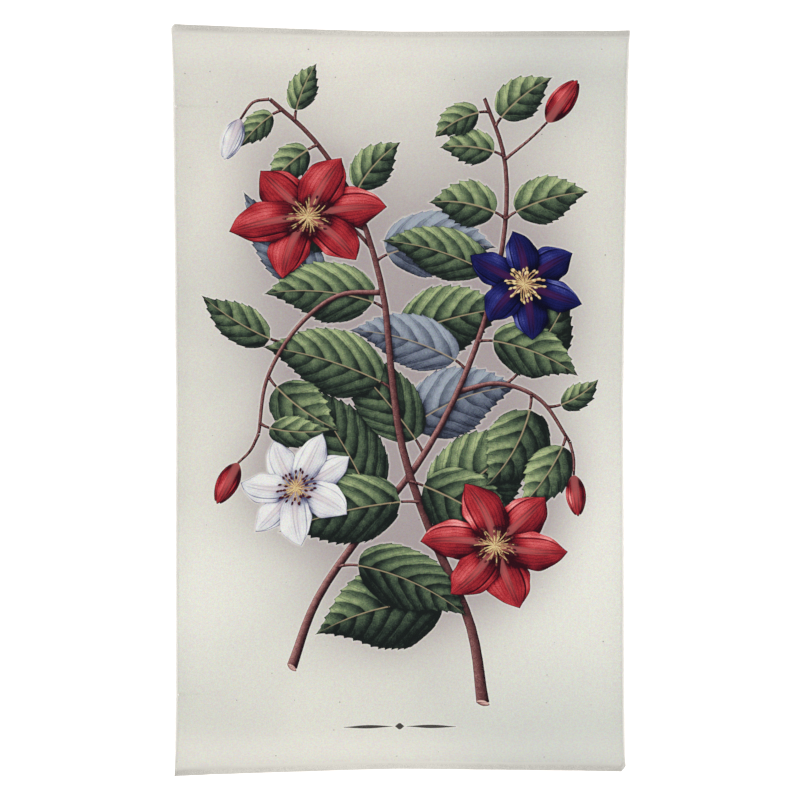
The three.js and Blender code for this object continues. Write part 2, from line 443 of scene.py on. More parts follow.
def leaves_along(blades, axis, shares, side, longest, shortest, rng, kinds=(LEAF,)):
    """Leaves on one side of a stem, shorter and fresher towards its tip, each with a petiole under it."""
    for count, share in enumerate(shares):
        turn = side * rng.uniform(44, 74)
        length = (longest + (shortest - longest) * share) * rng.uniform(0.92, 1.08)
        bend = side * rng.uniform(16, 42)
        age = 1.0 - 0.7 * share + rng.uniform(-0.12, 0.12)
        slim = rng.uniform(0.32, 0.38)
        tilt = rng.uniform(0.66, 1.0)
        seed = (share * 7.3 + turn / 50) % 1
        joint, heading = along_axis(axis, share)
        petiole = bent_axis(joint, heading + turn, 5 + 6 * (1 - share), bend * 0.6)
        stem(blades, petiole, 0.8, 0.65, 0.35, share)
        heading = along_axis(petiole, 0.99)[1] + bend * 0.3
        leaf(blades, petiole[-1], heading, length, bend, slim, age, seed, kinds[count % len(kinds)], tilt)


def flower(blades, centre, radius, kind, petals, turn, tilt, lean, anther, rng):
    """An open star-shaped flower. tilt foreshortens it along the direction lean."""
    squash = foreshortened(lean, tilt)
    centre = np.array(centre, float)
    for index in [*range(0, petals, 2), *range(1, petals, 2)]:
        heading = turn + index * 360 / petals + rng.uniform(-6, 6)
        length = radius * rng.uniform(0.92, 1.07)
        axis = bent_axis(centre, heading, length, rng.uniform(-34, 34))
        width = petal_width(length * 0.29 * rng.uniform(0.94, 1.08) * (6 / petals) ** 0.5)
        age = rng.uniform(0.3, 0.7)
        blades.append(Blade(kind, axis, width, waves=0.045, age=age, seed=rng.random(), squash=squash))
    stamens(blades, centre, radius * 0.27, squash, anther, rng)


def stamens(blades, centre, reach, squash, anther, rng):
    """The boss of stamens: an outer and an inner ring of filaments, each with its anther."""
    for ring, (share, count) in enumerate(((1.0, 22), (0.62, 14))):
        for index in range(count):
            heading = (index + 0.5 * ring) * 360 / count + rng.uniform(-7, 7)
            length = reach * share * rng.uniform(0.82, 1.1)
            axis = bent_axis(centre, heading, length, rng.uniform(-50, 50))
            width = stem_width(0.34, 0.26)
            blades.append(Blade(STAMEN, axis, width, age=0.15, seed=rng.random(), squash=squash))
            tip, before = axis[-1], axis[-4]
            onward = math.degrees(math.atan2(*(tip - before)[::-1]))
            head = bent_axis(tip - (tip - before) * 0.3, onward, 2.3, 20)
            seed = rng.random()
            blades.append(Blade(STAMEN, head, spindle_width(0.62), 0, 0.0, anther, seed, squash, centre))


def bud(blades, base, heading, length, kind, seed):
    """A closed bud of three overlapping sepals."""
    for offset, slim, share in ((14, 0.17, 0.97), (-14, 0.17, 0.97), (0, 0.19, 1)):
        axis = bent_axis(np.array(base, float), heading + offset * 0.5, length * share, -offset * 1.6)
        width = spindle_width(length * slim, 0.85, 0.75)
        blades.append(Blade(kind, axis, width, age=0.5, seed=seed + offset / 50))


def ornament(blades):
    """A swelled rule with a lozenge, under the spray."""

    def level(start, end):
        x = np.linspace(start, end, AXIS_STEPS + 1)
        return np.stack([x, np.full(len(x), RULE_HEIGHT)], axis=1)

    def swelled(u):
        return 0.75 * np.sin(math.pi * np.clip(u, 0.02, 0.98)) ** 1.5 + 0.12

    for side in (LEFT, RIGHT):
        blades.append(Blade(RULE, level(3.4 * side, 27 * side), swelled))
    blades.append(Blade(RULE, level(-2.2, 2.2), lambda u: 1.9 * (1 - np.abs(2 * u - 1)) + 0.05))


def draw_spray():
    """The flowers, leaves and stems, from the back to the front, measured from the sheet's middle."""
    rng = np.random.default_rng(11)
    blades = []
    main = smooth_curve([
        (40, -146), (34, -108), (16, -66), (2, -26), (-4, 14), (-8, 52), (-20, 92), (-40, 124), (-62, 144)
    ])
    second = smooth_curve([
        (-52, -128), (-40, -96), (-18, -64), (8, -32), (28, 4), (42, 42), (50, 80), (50, 116), (40, 146)
    ])
    third = smooth_curve([(-8, 52), (-30, 50), (-50, 34), (-64, 10), (-68, -16)])
    fourth = smooth_curve([(28, 4), (48, 8), (68, 0), (82, -20)])

    # Leaves behind the stems
    leaves_along(blades, main, (0.28, 0.44, 0.58, 0.72), -1, 72, 46, rng, (LEAF, LEAF_BACK))
    leaves_along(blades, second, (0.28, 0.42, 0.56, 0.70), 1, 72, 46, rng, (LEAF, LEAF, LEAF_BACK))
    leaves_along(blades, third, (0.22, 0.56), -1, 58, 44, rng, (LEAF_BACK, LEAF))
    leaves_along(blades, main, (0.50, 0.64, 0.76), 1, 70, 44, rng)
    leaves_along(blades, fourth, (0.35, 0.70), 1, 50, 38, rng)

    # The flowers' stalks and the stems
    for points in (
        [(-14, 74), (-24, 84), (-34, 88)],
        [(42, 42), (50, 46), (56, 52)],
        [(-18, -64), (-34, -60), (-44, -50)],
        [(16, -66), (30, -70), (38, -70)],
    ):
        stem(blades, smooth_curve(points), 1.0, 0.7)
    stem(blades, third, 1.3, 0.8, 0.45, 0.7)
    stem(blades, fourth, 1.3, 0.8, 0.45, 0.5)
    stem(blades, second, 2.1, 0.9, 0.75, 0.2)
    stem(blades, main, 2.5, 1.0, 0.8, 0.4)
    cut_foot(blades, second, 2.9)
    cut_foot(blades, main, 3.4)

    # Leaves in front of them
    leaves_along(blades, main, (0.16, 0.34), 1, 66, 40, rng)
    leaves_along(blades, main, (0.84, 0.92, 0.99), 1, 66, 24, rng)
    leaves_along(blades, main, (0.82, 0.96), -1, 66, 26, rng)
    leaves_along(blades, second, (0.18, 0.36, 0.62, 0.80, 0.97), -1, 66, 30, rng)
    leaves_along(blades, second, (0.80, 0.92, 0.99), 1, 66, 24, rng)
    leaves_along(blades, third, (0.74, 0.97), 1, 54, 30, rng)
    leaves_along(blades, fourth, (0.55, 0.97), -1, 52, 34, rng)

    # Flowers and buds
    flower(blades, (-44, 88), 37, CRIMSON, 6, 12, 0.86, 100, 0.75, rng)
    flower(blades, (60, 56), 30, NAVY, 6, 38, 0.88, 60, 0.1, rng)
    flower(blades, (-50, -42), 30, WHITE, 7, 20, 0.86, 130, 0.95, rng)
    flower(blades, (46, -70), 36, CRIMSON, 6, 50, 0.84, 80, 0.75, rng)
    for points, heading, length, kind, seed in (
        ([(50, 116), (62, 126), (70, 134)], 56, 25, CRIMSON, 0.3),
        ([(-62, 144), (-70, 142), (-76, 134)], -112, 21, WHITE, 0.6),
        ([(-68, -16), (-72, -24), (-78, -30)], -118, 22, CRIMSON, 0.8),
        ([(82, -20), (84, -28), (84, -36)], -84, 20, CRIMSON, 0.4),
    ):
        stem(blades, smooth_curve(points), 0.8, 0.6)
        bud(blades, points[-1], heading, length, kind, seed)
    ornament(blades)
    return blades


# ---- The printed sheet: outlines of the print cut into one flat sheet, which then follows the glass ----

GRID_STEP = 1.25  # between the sheet's points
UNDER_STEP = 6.0
RASTER_STEP = 0.5
SHADOW_REACHES = (0.8, 1.8, 3.2)
HALO_REACH = 17.0
EDGE_REACH = 2.0
MAP_ABOVE_WIDTH = 0.80  # shares of the bake's map, from left to right
MAP_UNDER = 0.82
MAP_UNDER_WIDTH = 0.10
MAP_EDGES = 0.94
MAP_EDGE_WIDTH = 0.008


def flat_edge(bend):
    """Half the size of the flat sheet before it was bent under the glass."""
    return bend.start + (bend.radius + GLASS_THICKNESS) * math.asin((bend.run - SHEET_MARGIN) / bend.radius)


FLAT = np.array([flat_edge(ACROSS), flat_edge(ALONG)])


def sheet_on_tray(flat, depth):
    """Where points of the flat sheet lie on the tray."""
    shares = []
    for bend, distance in zip((ACROSS, ALONG), flat.T):
        turn = np.maximum(0, np.abs(distance) - bend.start) / (bend.radius + GLASS_THICKNESS)
        plan = np.minimum(np.abs(distance), bend.start) + bend.radius * np.sin(turn)
        shares.append(np.sign(distance) * plan / bend.edge)
    return tray_points(*shares, depth)


def sheet_outline():
    """The flat sheet's edge, with the corners that were nipped off."""
    points = []
    for side, end in ((LEFT, NEAR), (RIGHT, NEAR), (RIGHT, FAR), (LEFT, FAR)):
        corner = FLAT * (side, end)
        leg = NIPS.get((side, end), 0) - (2 - math.sqrt(2)) * SHEET_MARGIN
        if leg <= 0:
            points.append(corner)
            continue
        cuts = [corner - (0, end * leg), corner - (side * leg, 0)]
        points += cuts if side == end else reversed(cuts)
    line = []
    for start, finish in zip(points, points[1:] + points[:1]):
        count = max(1, round(np.linalg.norm(finish - start) / GRID_STEP))
        line += [start + (finish - start) * i / count for i in range(count)]
    return np.array(line)


def grid_points(step):
    """A hexagonal grid over the sheet, clear of its edge."""
    rows = np.arange(-FLAT[1], FLAT[1], step * math.sqrt(0.75))
    columns = np.arange(-FLAT[0], FLAT[0], step)
    x, y = np.meshgrid(columns, rows)
    x = x + (np.arange(len(rows)) % 2)[:, None] * step / 2
    points = np.stack([x.ravel(), y.ravel()], axis=1)
    room = FLAT - np.abs(points)
    return points[(room > step * 0.6).all(1) & (room.sum(1) >= max(NIPS.values()) + step)]


def triangulate(outline, shapes, step):
    """Cuts the flat sheet along every shape. Returns its points, its triangles, the topmost shape of each
    (-1 for bare paper), and which points are the outline's."""
    points = [*outline]
    rings = [list(range(len(outline)))]
    for shape in shapes:
        rings.append(list(range(len(points), len(points) + len(shape))))
        points += [*shape]
    points = [Vector(point) for point in [*points, *grid_points(step)]]
    corners, _, triangles, sources, _, over = delaunay_2d_cdt(points, [], rings, 1, 1e-4, True)
    triangles = np.array([triangle for triangle, of in zip(triangles, over) if of])
    owners = np.array([max(of) - 1 for of in over if of])
    places = {source: place for place, several in enumerate(sources) for source in several}
    rim = np.array([places[i] for i in range(len(outline))])
    return np.array([tuple(corner) for corner in corners]), triangles, owners, rim


def fill(raster, outline, value):
    """Sets the cells inside an outline."""
    x, y = ((outline + FLAT) / RASTER_STEP).T
    next_x, next_y = np.roll(x, -1), np.roll(y, -1)
    for row in range(max(0, int(y.min())), min(raster.shape[0], int(y.max()) + 1)):
        crossing = (y <= row) != (next_y <= row)
        if not crossing.any():
            continue
        share = (row - y[crossing]) / (next_y[crossing] - y[crossing])
        cuts = np.sort(x[crossing] + share * (next_x[crossing] - x[crossing]))
        for start, finish in zip(cuts[::2], cuts[1::2]):
            raster[row, max(0, math.ceil(start)): max(0, math.floor(finish) + 1)] = value


def look_up(raster, points):
    column, row = ((points + FLAT) / RASTER_STEP).round().astype(int).T
    return raster[np.clip(row, 0, raster.shape[0] - 1), np.clip(column, 0, raster.shape[1] - 1)]


def blurred(raster, reach):
    """The raster smoothed over a reach in millimetres."""
    half = int(2.5 * reach / RASTER_STEP)
    weights = np.exp(-0.5 * (np.arange(-half, half + 1) * RASTER_STEP / reach) ** 2)
    weights /= weights.sum()
    for axis in (0, 1):
        raster = np.apply_along_axis(lambda line: np.convolve(line, weights, mode="same"), axis, raster)
    return raster


def cast_shadow(raster, points, own):
    """How much of a point's surroundings is covered by shapes above its own, more so towards the light."""
    total = np.zeros(len(points))
    weight = 0.0
    for reach in SHADOW_REACHES:
        for turn in np.arange(0, 2 * math.pi, math.pi / 6):
            offset = reach * np.array([math.cos(turn), math.sin(turn)])
            part = (1.35 + offset @ LIGHT / reach) / reach
            total += part * (look_up(raster, points + offset) > own)
            weight += part
    return total / weight


def edge_distance(points, outline):
    """The distance from points to an outline, worked out in blocks to save memory."""
    step = np.roll(outline, -1, axis=0) - outline
    nearest = np.full(len(points), np.inf)
    for block in range(0, len(points), 2000):
        offset = points[block: block + 2000, None, :] - outline[None]
        share = np.clip((offset * step).sum(2) / np.maximum((step**2).sum(1), 1e-9), 0, 1)
        nearest[block: block + 2000] = np.linalg.norm(offset - share[..., None] * step, axis=2).min(1)
    return nearest


def nearest_edge(points, outlines):
    """The distance from points to the nearest of many outlines, up to EDGE_REACH."""
    nearest = np.full(len(points), EDGE_REACH)
    for outline in outlines:
        low, high = outline.min(0) - EDGE_REACH, outline.max(0) + EDGE_REACH
        near = np.flatnonzero(((points > low) & (points < high)).all(1))
        if len(near):
            nearest[near] = np.minimum(nearest[near], edge_distance(points[near], outline))
    return nearest


def measure_print(blades, points, owners):
    """What the inks read at every corner of every triangle, as vectors by their name."""
    corner_owner = np.repeat(owners, 3)
    raster = np.full([int(2 * size / RASTER_STEP) + 2 for size in FLAT[::-1]], -1)
    for index, blade in enumerate(blades):
        fill(raster, blade.outline, index)
    halo = blurred((raster >= 0).astype(float), HALO_REACH)
    place, extent, tone = np.zeros((3, len(points), 3))
    for index, blade in enumerate(blades):
        mine = np.flatnonzero(corner_owner == index)
        if len(mine):
            u, v, half, lit = blade.measure(points[mine])
            place[mine] = np.stack([u, v, np.full(len(mine), blade.seed)], axis=1)
            extent[mine, 0] = blade.length
            extent[mine, 1] = half
            extent[mine, 2] = edge_distance(points[mine], blade.outline)
            tone[mine, 1] = lit
            tone[mine, 2] = blade.age
    bare = corner_owner < 0
    extent[bare, 2] = nearest_edge(points[bare], [blade.outline for blade in blades])
    tone[:, 0] = cast_shadow(raster, points, corner_owner)
    sheet = np.column_stack([points, look_up(halo, points)])
    return {"place": place, "extent": extent, "tone": tone, "sheet": sheet}


def map_for_bake(mesh, above, under, edge_count):
    """Lays the sheet flat for baking: nearly all of the map for the printed face, and strips beside it for
    the back and for the thin edge, which is cut into four."""

    def flat(points, left, width):
        return (points / FLAT / 2 + 0.5) * (width, 1) + (left, 0)

    strip, along = np.divmod(np.arange(edge_count) * 4 / edge_count, 1)
    left = MAP_EDGES + strip * MAP_EDGE_WIDTH * 2
    right = left + MAP_EDGE_WIDTH
    after = along + 4 / edge_count
    edges = np.stack([left, along, right, along, right, after, left, after], axis=1).reshape(-1, 2)
    places = np.vstack([flat(above, 0, MAP_ABOVE_WIDTH), flat(under, MAP_UNDER, MAP_UNDER_WIDTH), edges])
    layer = mesh.uv_layers.new(name="OFBake")
    layer.uv.foreach_set("vector", (places * 0.99 + 0.004).astype(np.float32).ravel())


def printed_sheet(blades, materials):
    """The sheet with the print cut into its upper face. materials are in the order of the blades' kinds."""
    outline = sheet_outline()
    above, triangles, owners, rim = triangulate(outline, [blade.outline for blade in blades], GRID_STEP)
    under, under_triangles, _, under_rim = triangulate(outline, [], UNDER_STEP)
    under_triangles = under_triangles[:, ::-1]
    points = np.vstack([sheet_on_tray(above, PRINT_TOP), sheet_on_tray(under, BACKING_TOP)])
    faces = triangles.tolist() + (under_triangles + len(above)).tolist()
    faces += wall([rim, under_rim + len(above)])
    piece = add_piece("printed_sheet_art", points, faces, materials, "printed_sheet")
    mesh = piece.data
    kinds = np.full(len(mesh.polygons), PAPER, np.int32)
    kinds[: len(owners)] = [blades[owner].kind if owner >= 0 else PAPER for owner in owners]
    mesh.polygons.foreach_set("material_index", kinds)
    for name, values in measure_print(blades, above[triangles.ravel()], owners).items():
        data = np.zeros((len(mesh.loops), 3), np.float32)
        data[: len(values)] = values
        mesh.attributes.new(name, "FLOAT_VECTOR", "CORNER").data.foreach_set("vector", data.ravel())
    map_for_bake(mesh, above[triangles.ravel()], under[under_triangles.ravel()], len(rim))


# ---- Node trees as formulas ----


def add_node(tree, kind, inputs=None, **settings):
    """A new node, with its inputs set or fed by name or number."""
    node = tree.nodes.new(kind)
    for name, setting in settings.items():
        setattr(node, name, setting)
    for entry, value in (inputs or {}).items():
        plug(tree, value, node.inputs[entry])
    return node


def plug(tree, value, entry):
    """Feeds a socket from a wire, or sets its value."""
    if isinstance(value, Wire):
        tree.links.new(value.socket, entry)
    else:
        entry.default_value = value


def math_method(operation):
    """A method that feeds a math node with the wire and what comes after it."""
    return lambda self, *others: self.math(operation, *others)


class Wire:
    """An output in a node tree, with arithmetic."""

    def __init__(self, tree, socket):
        self.tree = tree
        self.socket = socket

    def feed(self, kind, *others, **settings):
        """The first output of a new node that takes this wire and then the others."""
        node = add_node(self.tree, kind, dict(enumerate((self, *others))), **settings)
        return Wire(self.tree, node.outputs[0])

    def math(self, operation, *others):
        return self.feed("ShaderNodeMath", *others, operation=operation)

    def vector_math(self, operation, *others):
        return self.feed("ShaderNodeVectorMath", *others, operation=operation)

    __add__ = __radd__ = math_method("ADD")
    __mul__ = __rmul__ = math_method("MULTIPLY")
    __sub__ = math_method("SUBTRACT")
    __truediv__ = math_method("DIVIDE")
    __pow__ = math_method("POWER")
    __abs__ = math_method("ABSOLUTE")
    at_least = math_method("MAXIMUM")
    at_most = math_method("MINIMUM")
    fraction = math_method("FRACT")
    sign = math_method("SIGN")
    sine = math_method("SINE")
    root = math_method("SQRT")

    def __rsub__(self, other):
        return self * -1.0 + other

    def step(self, start, end, low=0.0, high=1.0):
        """A smooth step from low to high as the value goes from start to end."""
        return self.feed("ShaderNodeMapRange", start, end, low, high, interpolation_type="SMOOTHSTEP")

    def line(self, width):
        """1 where the value is near zero and 0 further off, as for a distance from a line."""
        return self.step(width * 0.5, width * 1.2, 1.0, 0.0)

    def ramp(self, stops):
        """A colour for the value, from a list of (position, colour)."""
        node = add_node(self.tree, "ShaderNodeValToRGB", {0: self})
        elements = node.color_ramp.elements
        while len(elements) < len(stops):
            elements.new(0.5)
        for element, (position, colour) in zip(elements, stops):
            element.position = position
            element.color = srgb(colour)
        return Wire(self.tree, node.outputs[0])


def srgb(colour):
    """A linear RGBA colour from one written as 0 to 255 in sRGB."""
    shares = [c / 255 for c in colour]
    return (*[s / 12.92 if s <= 0.04045 else ((s + 0.055) / 1.055) ** 2.4 for s in shares], 1.0)


def blend(share, first, second):
    """A colour between two, by a share from 0 to 1."""
    node = add_node(share.tree, "ShaderNodeMix", {"Factor": share}, data_type="RGBA")
    entries = [entry for entry in node.inputs if entry.type == "RGBA"]
    for entry, colour in zip(entries, (first, second)):
        plug(share.tree, colour if isinstance(colour, Wire) else srgb(colour), entry)
    return Wire(share.tree, next(out for out in node.outputs if out.type == "RGBA"))


class Finish:
    """A material in the making."""

    def __init__(self, name):
        self.material = bpy.data.materials.new(name)
        self.material.use_nodes = True
        self.tree = self.material.node_tree
        self.shader = self.tree.nodes["Principled BSDF"]

    def read(self, kind, output, inputs=None, **settings):
        """One output of a new node."""
        return Wire(self.tree, add_node(self.tree, kind, inputs, **settings).outputs[output])

    def attribute(self, name):
        """The three parts of a vector kept on the mesh."""
        return self.parts(self.read("ShaderNodeAttribute", "Vector", attribute_name=name))

    def parts(self, vector):
        """The three parts of a vector."""
        node = add_node(self.tree, "ShaderNodeSeparateXYZ", {0: vector})
        return [Wire(self.tree, out) for out in node.outputs]

    def position(self):
        return self.read("ShaderNodeTexCoord", "Object")

    def vector(self, x, y, z=0.0):
        return self.read("ShaderNodeCombineXYZ", 0, {0: x, 1: y, 2: z})

    def noise(self, where, scale, detail=2.0, roughness=0.5, output="Fac"):
        """Noise from 0 to 1."""
        inputs = {"Vector": where, "Scale": scale, "Detail": detail, "Roughness": roughness}
        return self.read("ShaderNodeTexNoise", output, inputs)

    def cells(self, where, scale, output="Distance"):
        """Cells of a flat pattern: the distance from the middle of each, or its random colour."""
        inputs = {"Vector": where, "Scale": scale}
        return self.read("ShaderNodeTexVoronoi", output, inputs, voronoi_dimensions="2D")

    def set(self, **values):
        """Sets or feeds the shader's sockets: base_color=..., roughness=..."""
        for name, value in values.items():
            plug(self.tree, value, self.shader.inputs[name.replace("_", " ").title().replace("Ior", "IOR")])

    def bump(self, height, distance, strength=1.0):
        inputs = {"Height": height, "Distance": distance, "Strength": strength}
        self.set(normal=self.read("ShaderNodeBump", 0, inputs))


# ---- Inks: colours are 0 to 255 in sRGB, and a ramp goes from the palest to the darkest print ----

BONDED_GLOSS = 0.0  # glue between the print and the glass leaves it no gloss of its own
MOTTLE = (0.29, 0.28, 0.42)  # how far the mottling goes in red, green and blue
SPECKS = 0.07  # places for specks per millimetre
SPECK_COLOUR = (88, 82, 76)
PAPER_LIGHT = (213, 209, 201)
PAPER_DARK = (200, 197, 191)
PAPER_COOL = (200, 202, 195)
# painted light: the paper's tone where the ends bend up, paler as if lit more there
PAPER_ENDS_LIT = (223, 219, 212)
PAPER_PALE_PATCH = (226, 224, 217)
PAPER_DARK_PATCH = (179, 183, 181)
PAPER_HALO = (158, 147, 149)  # the soft shade round the spray
PAPER_RIM = (226, 221, 216)  # a pale line round every shape
PATCHES = [  # where the sheet is darker or paler: x, y, reach, strength and colour
    (70, 178, 82, 0.5, PAPER_DARK_PATCH),
    (72, -174, 82, 0.45, PAPER_DARK_PATCH),
    (-108, -92, 60, 0.65, PAPER_PALE_PATCH),
    (104, -58, 125, 0.75, PAPER_PALE_PATCH),
]
MIDRIB = (162, 144, 116)
CRIMSON_BAR = (206, 108, 108)  # down the middle of each petal
WHITE_BAR = (198, 180, 184)
NAVY_BAR = (76, 30, 80)


def stops_at(positions, *colours):
    """A ramp's colours with their positions."""
    return list(zip(positions, colours))


FIVE_STOPS = (0.0, 0.25, 0.5, 0.75, 1.0)
RED_STOPS = (0.0, 0.22, 0.48, 0.74, 1.0)
GREENS = stops_at(FIVE_STOPS, (164, 175, 130), (118, 133, 98), (79, 95, 73), (44, 56, 48), (22, 27, 27))
BACK_GREENS = stops_at((0.0, 0.4, 0.75, 1.0), (150, 158, 170), (106, 114, 130), (66, 72, 90), (34, 38, 50))
REDS = stops_at(RED_STOPS, (224, 152, 150), (200, 90, 94), (166, 42, 50), (108, 22, 35), (44, 11, 21))
WHITES = stops_at((0.0, 0.35, 0.65, 1.0), (216, 215, 214), (194, 193, 199), (146, 147, 168), (74, 75, 106))
BLUES = stops_at(FIVE_STOPS, (98, 104, 162), (44, 48, 118), (24, 26, 84), (14, 16, 56), (8, 8, 30))
POLLENS = stops_at((0.0, 0.3, 0.65, 1.0), (224, 212, 172), (196, 172, 120), (128, 58, 54), (58, 20, 34))
BARKS = stops_at((0.0, 0.3, 0.6, 1.0), (204, 172, 164), (160, 114, 112), (98, 58, 60), (34, 20, 26))
BLACKS = stops_at((0.0, 1.0), (110, 104, 98), (44, 42, 42))


class Ink(Finish):
    """A printed colour. It reads the blade's measures from the mesh."""

    def __init__(self, name):
        super().__init__(name)
        self.u, self.v, self.seed = self.attribute("place")
        self.length, self.half, self.edge = self.attribute("extent")
        self.shadow, self.lit, self.age = self.attribute("tone")
        self.x, self.y, self.halo = self.attribute("sheet")
        self.on_sheet = self.vector(self.x, self.y)
        self.across = abs(self.v)

    def uneven(self, scale, *detail):
        """Noise over the sheet, from -0.5 to 0.5."""
        return self.noise(self.on_sheet, scale, *detail) - 0.5

    def shaded(self, density, stops):
        """The colour for a density of ink, with the crayon grain of the printing stone."""
        grain = self.uneven(1.7, 1.0, 0.7) * 2.4 + self.uneven(0.35, 2.0, 0.5) * 0.8
        return (density + grain * 0.20).at_most(1.0).at_least(0.0).ramp(stops)

    def printed(self, colour):
        """The finished material: a colour with the faint mottling of old paper, bonded to the glass."""
        mottle = self.noise(self.on_sheet, 1.35, 0.0, 0.5, "Color")
        mottle = mottle.vector_math("MULTIPLY_ADD", MOTTLE, tuple(1 - part / 2 for part in MOTTLE))
        colour = colour.vector_math("MULTIPLY", mottle)
        self.set(base_color=colour, roughness=0.7, specular_ior_level=BONDED_GLOSS)
        return self.material


def paper_ink():
    """Bare paper, cooler and a little darker towards one corner and paler at the ends as painted light
    where the tray bends up, with darker and paler patches, specks and a shade round the spray."""
    ink = Ink("print_paper")
    cool = ink.y.step(-150.0, 150.0, 0.75, 0.1) + ink.x.step(0.0, 100.0, 0.0, 0.4)
    paper = ink.noise(ink.on_sheet, 0.014, 2.0, 0.5).ramp([(0.35, PAPER_LIGHT), (0.65, PAPER_DARK)])
    paper = blend(cool * 0.5, paper, PAPER_COOL)
    # painted light: paler towards the ends, where the tray bends up
    paper = blend(abs(ink.y).step(150.0, 181.0, 0.0, 0.55), paper, PAPER_ENDS_LIT)
    for x, y, reach, strength, colour in PATCHES:
        away = ((ink.x - x) ** 2.0 + (ink.y - y) ** 2.0).root()
        paper = blend(away.step(0.0, reach, strength, 0.0), paper, colour)
    paper = blend(ink.halo.step(0.0, 0.8, 0.0, 1.0), paper, PAPER_HALO)
    paper = blend(ink.edge.step(0.1, 1.1, 0.36, 0.0), paper, PAPER_RIM)
    size, strength, _ = ink.parts(ink.cells(ink.on_sheet, SPECKS, "Color"))
    speck = (ink.cells(ink.on_sheet, SPECKS) * (3.2 - size * 1.8)).step(0.025, 0.05, 1.0, 0.0)
    return ink.printed(blend(speck * strength.step(0.55, 1.0, 0.0, 0.8), paper, SPECK_COLOUR))


def leaf_ink(name, stops, base_density):
    """A leaf. Each side vein has a dark valley on one side of it and a pale ridge on the other."""
    ink = Ink(name)
    wobble = ink.uneven(0.12)
    side = ink.lit.step(-0.6, 0.6)
    veins = (ink.length / 9.0).at_least(4.0)
    phase = (ink.u - ink.half / ink.length * ink.across ** 1.5) * veins + ink.v.sign() * 0.25 + wobble * 0.3
    cell = phase.fraction()
    valley = cell.step(0.0, 0.55, 1.0, 0.0) * (1.0 - ink.across * 0.65)
    ridge = cell.step(0.4, 0.75) * cell.step(0.85, 1.0, 1.0, 0.0)
    vein = (0.5 - abs(cell - 0.5)).line(0.03)
    twig = abs((phase * 2.0 + ink.across * 1.4).fraction() - 0.5).line(0.07) * ink.across.step(0.35, 0.8)
    density = (
        base_density + ink.age * 0.30 - side * 0.32 + valley * 0.42 - ridge * 0.22 * side
        + vein * 0.2 + ink.shadow * 0.6 + wobble * 0.4 + ink.uneven(0.45, 2.0, 0.6) * 0.42
        + ink.u.step(0.0, 0.3, 0.16, 0.0) + ink.u.step(0.65, 1.0, 0.0, 0.14)
        + ink.across.step(0.45, 1.0) * (0.22 - side * 0.38)
        + ink.edge.line(0.3) * (0.6 - side * 0.35) + twig * 0.22
    )
    shade = abs(ink.v * ink.half - 0.9).line(0.7) * ink.u.step(0.6, 1.0, 0.55, 0.0)
    colour = blend(shade, ink.shaded(density, stops), stops[-1][1])
    midrib = (ink.across * ink.half).line(0.48 - ink.u * 0.26) * ink.u.step(0.7, 1.0, 0.8, 0.1)
    return ink.printed(blend(midrib, colour, MIDRIB))


def petal_ink(name, stops, base_density, bar, bar_share):
    """A petal, with fine rays, a turned fold along one margin and a bar of another colour down its
    middle."""
    ink = Ink(name)
    wobble = ink.uneven(0.16)
    side = ink.lit.step(-0.9, 0.9)
    glow = ink.lit.step(0.05, 0.3) * ink.lit.step(0.3, 0.7, 1.0, 0.0)
    glow = glow * ink.u.step(0.3, 0.5) * ink.u.step(0.6, 0.9, 1.0, 0.0)
    rays = abs((ink.v * 5.5 + wobble * 0.6 + ink.seed * 3.0).fraction() - 0.5).line(0.16)
    wave = (ink.u * 17.0 + ink.seed * 40.0 + ink.v * 2.0).sine() * ink.across ** 2.0
    from_middle = ink.across * ink.half
    groove = abs(from_middle - 1.5 * (1.0 - ink.u * 0.6)).line(0.40) * ink.u.step(0.75, 1.0, 0.28, 0.0)
    turned = ink.v * (ink.seed - 0.5).sign() + (ink.u * math.pi).sine() * 0.24
    folded = ink.u.step(0.25, 0.35) * ink.u.step(0.85, 0.95, 1.0, 0.0)
    density = (
        base_density - side * 0.30 + ink.u.step(0.05, 0.55, 0.42, 0.0)
        + ink.across.step(0.55, 1.0) * (0.30 - side * 0.2) + ink.shadow * 0.75 + wobble * 0.25
        - glow * 0.22 + rays * 0.13 + wave * 0.16 + groove
        - turned.step(0.92, 0.96) * folded * 0.32 + abs(turned - 0.91).line(0.05) * folded * 0.4
        + ink.edge.line(0.30) * (0.55 - side * 0.25)
    )
    middle = from_middle.step(1.2, 2.4, 1.0, 0.0) * ink.u.step(0.35, 0.95, bar_share, 0.0)
    return ink.printed(blend(middle, ink.shaded(density, stops), bar))


def stem_ink():
    ink = Ink("print_stem")
    density = (
        0.50 - ink.lit * 0.62 + ink.age * 0.15 + ink.across ** 2.0 * 0.2 + ink.shadow * 0.55
        + ink.uneven(0.5) * 0.35 + ink.edge.line(0.22) * 0.35
    )
    return ink.printed(ink.shaded(density, BARKS))


def stamen_ink():
    ink = Ink("print_stamen")
    density = ink.age - ink.lit * 0.15 + ink.edge.line(0.14) * 0.25 + ink.shadow * 0.25
    return ink.printed(ink.shaded(density, POLLENS))


def rule_ink():
    ink = Ink("print_rule")
    return ink.printed(ink.shaded(ink.noise(ink.on_sheet, 2.0) * 0.3 + 0.6, BLACKS))


def inks():
    """One for each kind of blade, in the order of their numbers."""
    return [
        paper_ink(),
        leaf_ink("print_leaf", GREENS, 0.50),
        leaf_ink("print_leaf_back", BACK_GREENS, 0.34),
        petal_ink("print_crimson", REDS, 0.68, CRIMSON_BAR, 0.4),
        petal_ink("print_white", WHITES, 0.26, WHITE_BAR, 0.5),
        petal_ink("print_navy", BLUES, 0.68, NAVY_BAR, 0.5),
        stem_ink(),
        stamen_ink(),
        rule_ink(),
    ]


# ---- The other materials ----

